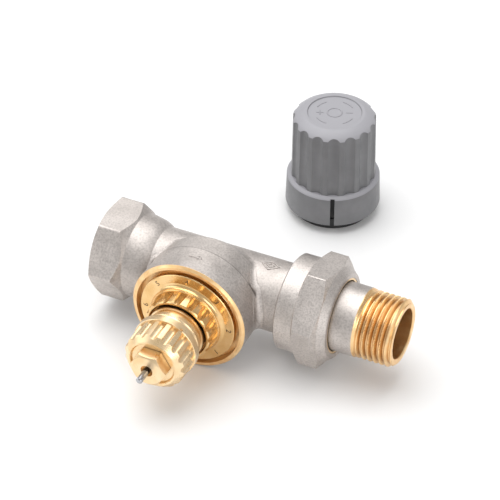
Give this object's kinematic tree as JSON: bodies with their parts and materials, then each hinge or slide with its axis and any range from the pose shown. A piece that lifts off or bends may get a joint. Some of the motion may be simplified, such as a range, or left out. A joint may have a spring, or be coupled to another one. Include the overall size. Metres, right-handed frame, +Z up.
{
  "type": "thermostatic radiator valve",
  "caption": "Straight radiator valve with a turned brass setting ring and sprung pin, a union nut and tail on the outlet, and a fluted grey manual cap standing beside it.",
  "frame": {"origin": "where the pipe axis meets the spindle axis", "axes": "+X along the pipe to the outlet, -Y along the spindle to the pin, +Z up"},
  "size_m": [0.0965, 0.135, 0.037],
  "materials": {
    "nickel_plate": "satin nickel plate over a blasted brass forging",
    "tail_plate": "satin nickel plate, bare brass on the thread",
    "bright_brass": "bright turned",
    "turned_brass": "fine turned",
    "steel": "ground",
    "seal_rubber": "moulded",
    "inner_polymer": "moulded",
    "cap_grey": "fine moulded texture",
    "cap_black": "moulded"
  },
  "bodies": {
    "valve": {"valve_body": "nickel_plate", "seat_ring": "turned_brass", "bonnet": "bright_brass", "bonnet_o_ring": "seal_rubber", "tailpiece": "tail_plate", "tail_o_ring": "seal_rubber"},
    "neck": {"neck_insert": "turned_brass", "neck_o_ring": "seal_rubber", "retaining_clip": "steel", "preset_cylinder": "inner_polymer", "gland_nut": "turned_brass", "gland_washer": "turned_brass", "gland_o_ring": "seal_rubber", "gland_bush": "inner_polymer", "return_spring": "steel"},
    "setting_ring": {"preset_ring": "bright_brass"},
    "stem": {"pressure_pin": "steel", "spindle": "steel", "plug_holder": "turned_brass", "plug_seal": "seal_rubber", "plug_rivet": "turned_brass", "spring_retainer": "steel"},
    "nut_carrier": {"slip_ring": "bright_brass"},
    "union_nut": {"union_nut": "nickel_plate"},
    "cap_clamp": {"cap_bush": "cap_black", "cap_snap_ring": "steel"},
    "cap_plunger": {"cap_pusher": "cap_black"},
    "cap_hood": {"cap_shell": "cap_grey", "cap_retainer": "cap_grey"}
  },
  "joints": [
    {"name": "preset_turn", "type": "hinge", "parent": "valve", "child": "neck", "pos_m": [0, 0, 0], "axis": [0, -1, 0], "range_deg": [-180, 135]},
    {"name": "ring_lift", "type": "slide", "parent": "neck", "child": "setting_ring", "axis": [0, -1, 0], "range_m": [0, 0.0018]},
    {"name": "pin_push", "type": "slide", "parent": "neck", "child": "stem", "axis": [0, 1, 0], "range_m": [0, 0.0022], "stiffness_N_per_m": 5000, "springref_m": -0.004, "deforming": ["return_spring"]},
    {"name": "nut_slide", "type": "slide", "parent": "valve", "child": "nut_carrier", "axis": [1, 0, 0], "range_m": [0, 0.00907]},
    {"name": "nut_turn", "type": "hinge", "parent": "nut_carrier", "child": "union_nut", "pos_m": [0, 0, 0], "axis": [1, 0, 0], "range_deg": [0, 1800]},
    {"name": "cap_lift", "type": "slide", "parent": "valve", "child": "cap_clamp", "axis": [0, 0, 1], "range_m": [0, 0.06]},
    {"name": "cap_screw", "type": "slide", "parent": "cap_clamp", "child": "cap_plunger", "axis": [0, 0, 1], "range_m": [0, 0.003]},
    {"name": "cap_turn", "type": "hinge", "parent": "cap_plunger", "child": "cap_hood", "pos_m": [0.0077, 0.0685, 0], "axis": [0, 0, 1], "range_deg": [0, 540]}
  ],
  "couplings": [
    {"joint": "nut_turn", "follows": "nut_slide", "rad_per_m": 3463.2},
    {"joint": "cap_turn", "follows": "cap_screw", "rad_per_m": 3141.6}
  ]
}
